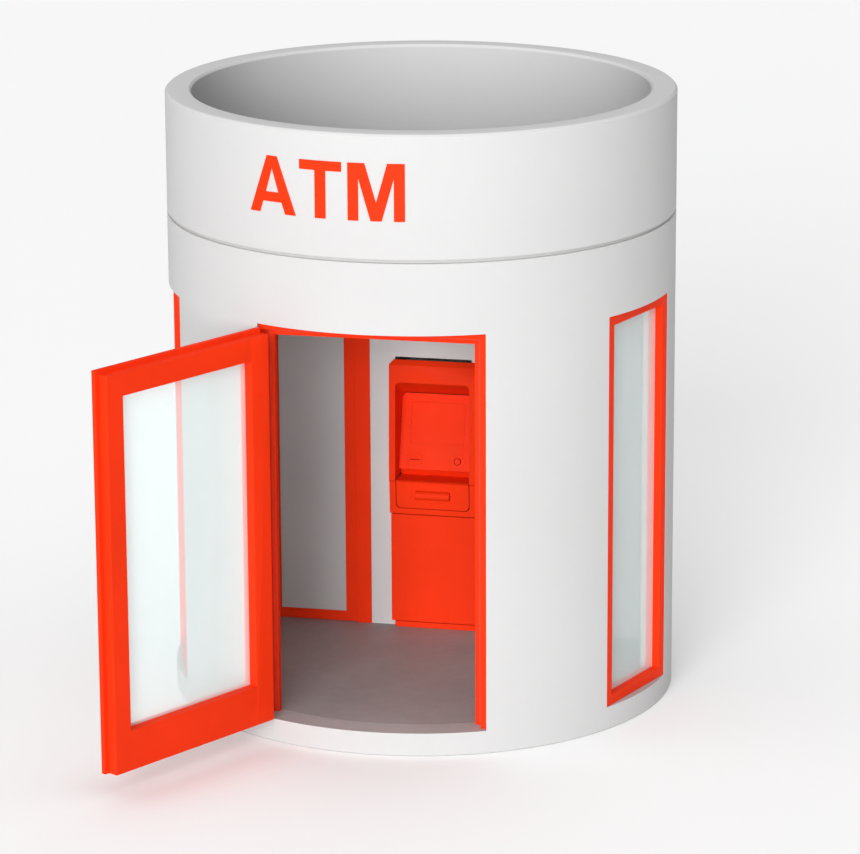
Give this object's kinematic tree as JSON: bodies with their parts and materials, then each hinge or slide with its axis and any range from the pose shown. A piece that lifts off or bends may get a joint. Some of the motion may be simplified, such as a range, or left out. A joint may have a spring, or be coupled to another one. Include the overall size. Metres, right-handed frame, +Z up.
{
  "type": "atm machine",
  "caption": "Walk-in cylindrical cash-machine kiosk: pale concrete drum with parapet, orange-framed glass door standing open, side windows and an orange machine set in an inner partition.",
  "frame": {"origin": "centre of the round base at ground level, on the axis of the drum", "axes": "+Z up along the drum axis; -Y towards the entrance doorway; +X to the right of someone facing the doorway"},
  "size_m": [2.6, 3.4833, 3.145],
  "materials": {
    "cast_white": "smooth pale precast concrete, matt",
    "cast_grey": "plain grey concrete, matt",
    "paving": "dark warm grey floor finish, honed",
    "membrane": "dark grey roofing membrane",
    "orange_coat": "orange-red powder coat, satin",
    "clear_glass": "clear float glass",
    "grey_panel": "light grey coated panel, matt",
    "grey_board": "light grey painted lining, matt",
    "bright_steel": "brushed stainless steel",
    "dark_steel": "dark grey painted steel, textured",
    "seal_orange": "orange-red weather seal, matt",
    "moulding": "dark grey moulded housing"
  },
  "bodies": {
    "kiosk": {"drum_wall": "cast_white", "parapet_ring": "cast_white", "base_slab": "cast_grey", "roof_slab": "cast_grey", "joint_ring": "cast_grey", "floor_finish": "paving", "roof_membrane": "membrane", "roof_upturn": "membrane", "roof_drain": "dark_steel", "safe_body": "dark_steel", "drain_pipe": "grey_panel", "upper_cabinet": "grey_panel", "partition_wall": "grey_board", "letter_a": "orange_coat", "letter_t": "orange_coat", "letter_m": "orange_coat", "entrance_frame": "orange_coat", "window_frame_right": "orange_coat", "window_frame_left": "orange_coat", "window_bead_right": "orange_coat", "window_bead_left": "orange_coat", "service_frame": "orange_coat", "head_fascia": "orange_coat", "niche_shell": "orange_coat", "dispenser_front": "orange_coat", "receipt_louvre": "orange_coat", "screen_panel": "orange_coat", "display": "orange_coat", "card_reader": "orange_coat", "plinth_cover": "orange_coat", "window_glass_right": "clear_glass", "window_glass_left": "clear_glass", "frame_seal": "seal_orange", "entrance_hinge_bottom_fixed": "bright_steel", "entrance_hinge_top_fixed": "bright_steel", "service_hinge_bottom_fixed": "bright_steel", "service_hinge_top_fixed": "bright_steel", "note_module": "moulding"},
    "entrance_leaf": {"leaf_stile_lock": "orange_coat", "leaf_stile_hinge": "orange_coat", "leaf_rail_top": "orange_coat", "leaf_rail_bottom": "orange_coat", "leaf_glass": "clear_glass", "leaf_pull": "bright_steel", "entrance_hinge_bottom_leaf": "bright_steel", "entrance_hinge_top_leaf": "bright_steel"},
    "service_door": {"service_leaf": "orange_coat", "service_panel": "grey_panel", "service_hinge_bottom_leaf": "bright_steel", "service_hinge_top_leaf": "bright_steel"},
    "service_lever": {"service_lever": "bright_steel"},
    "pedestal_door": {"pedestal_door": "orange_coat"},
    "cash_shutter": {"cash_shutter": "orange_coat"},
    "push_button": {"push_button": "orange_coat"},
    "side_key_1": {"side_key_1": "orange_coat"},
    "side_key_2": {"side_key_2": "orange_coat"},
    "side_key_3": {"side_key_3": "orange_coat"},
    "side_key_4": {"side_key_4": "orange_coat"},
    "safe_door": {"safe_door": "dark_steel"},
    "safe_handle": {"safe_handle": "bright_steel"}
  },
  "joints": [
    {"name": "entrance_leaf_hinge", "type": "hinge", "parent": "kiosk", "child": "entrance_leaf", "pos_m": [-0.571, -1.177, 0.33], "axis": [0, 0, 1], "range_deg": [-8, 119.45]},
    {"name": "service_door_hinge", "type": "hinge", "parent": "kiosk", "child": "service_door", "pos_m": [-0.4545, 0.481, 0.3], "axis": [0, 0, -1], "range_deg": [0, 90]},
    {"name": "service_lever_turn", "type": "hinge", "parent": "service_door", "child": "service_lever", "pos_m": [-0.914, 0.45, 1.05], "axis": [0, -1, 0], "range_deg": [0, 90]},
    {"name": "pedestal_door_hinge", "type": "hinge", "parent": "kiosk", "child": "pedestal_door", "pos_m": [0.212, 0.414, 0.45], "axis": [0, 0, 1], "range_deg": [0, 90]},
    {"name": "cash_shutter_turn", "type": "hinge", "parent": "kiosk", "child": "cash_shutter", "pos_m": [-0.035, 0.384, 0.859], "axis": [1, 0, 0], "range_deg": [0, 90]},
    {"name": "push_button_press", "type": "slide", "parent": "kiosk", "child": "push_button", "axis": [0, 0.9646, -0.2639], "range_m": [0, 0.004], "stiffness_N_per_m": 500},
    {"name": "side_key_1_press", "type": "slide", "parent": "kiosk", "child": "side_key_1", "axis": [0, 0.9646, -0.2639], "range_m": [0, 0.0015], "stiffness_N_per_m": 400},
    {"name": "side_key_2_press", "type": "slide", "parent": "kiosk", "child": "side_key_2", "axis": [0, 0.9646, -0.2639], "range_m": [0, 0.0015], "stiffness_N_per_m": 400},
    {"name": "side_key_3_press", "type": "slide", "parent": "kiosk", "child": "side_key_3", "axis": [0, 0.9646, -0.2639], "range_m": [0, 0.0015], "stiffness_N_per_m": 400},
    {"name": "side_key_4_press", "type": "slide", "parent": "kiosk", "child": "side_key_4", "axis": [0, 0.9646, -0.2639], "range_m": [0, 0.0015], "stiffness_N_per_m": 400},
    {"name": "safe_door_hinge", "type": "hinge", "parent": "kiosk", "child": "safe_door", "pos_m": [-0.248, 0.81, 0.435], "axis": [0, 0, 1], "range_deg": [0, 95]},
    {"name": "safe_handle_turn", "type": "hinge", "parent": "safe_door", "child": "safe_handle", "pos_m": [0.005, 0.8315, 0.435], "axis": [0, 1, 0], "range_deg": [0, 90]}
  ]
}
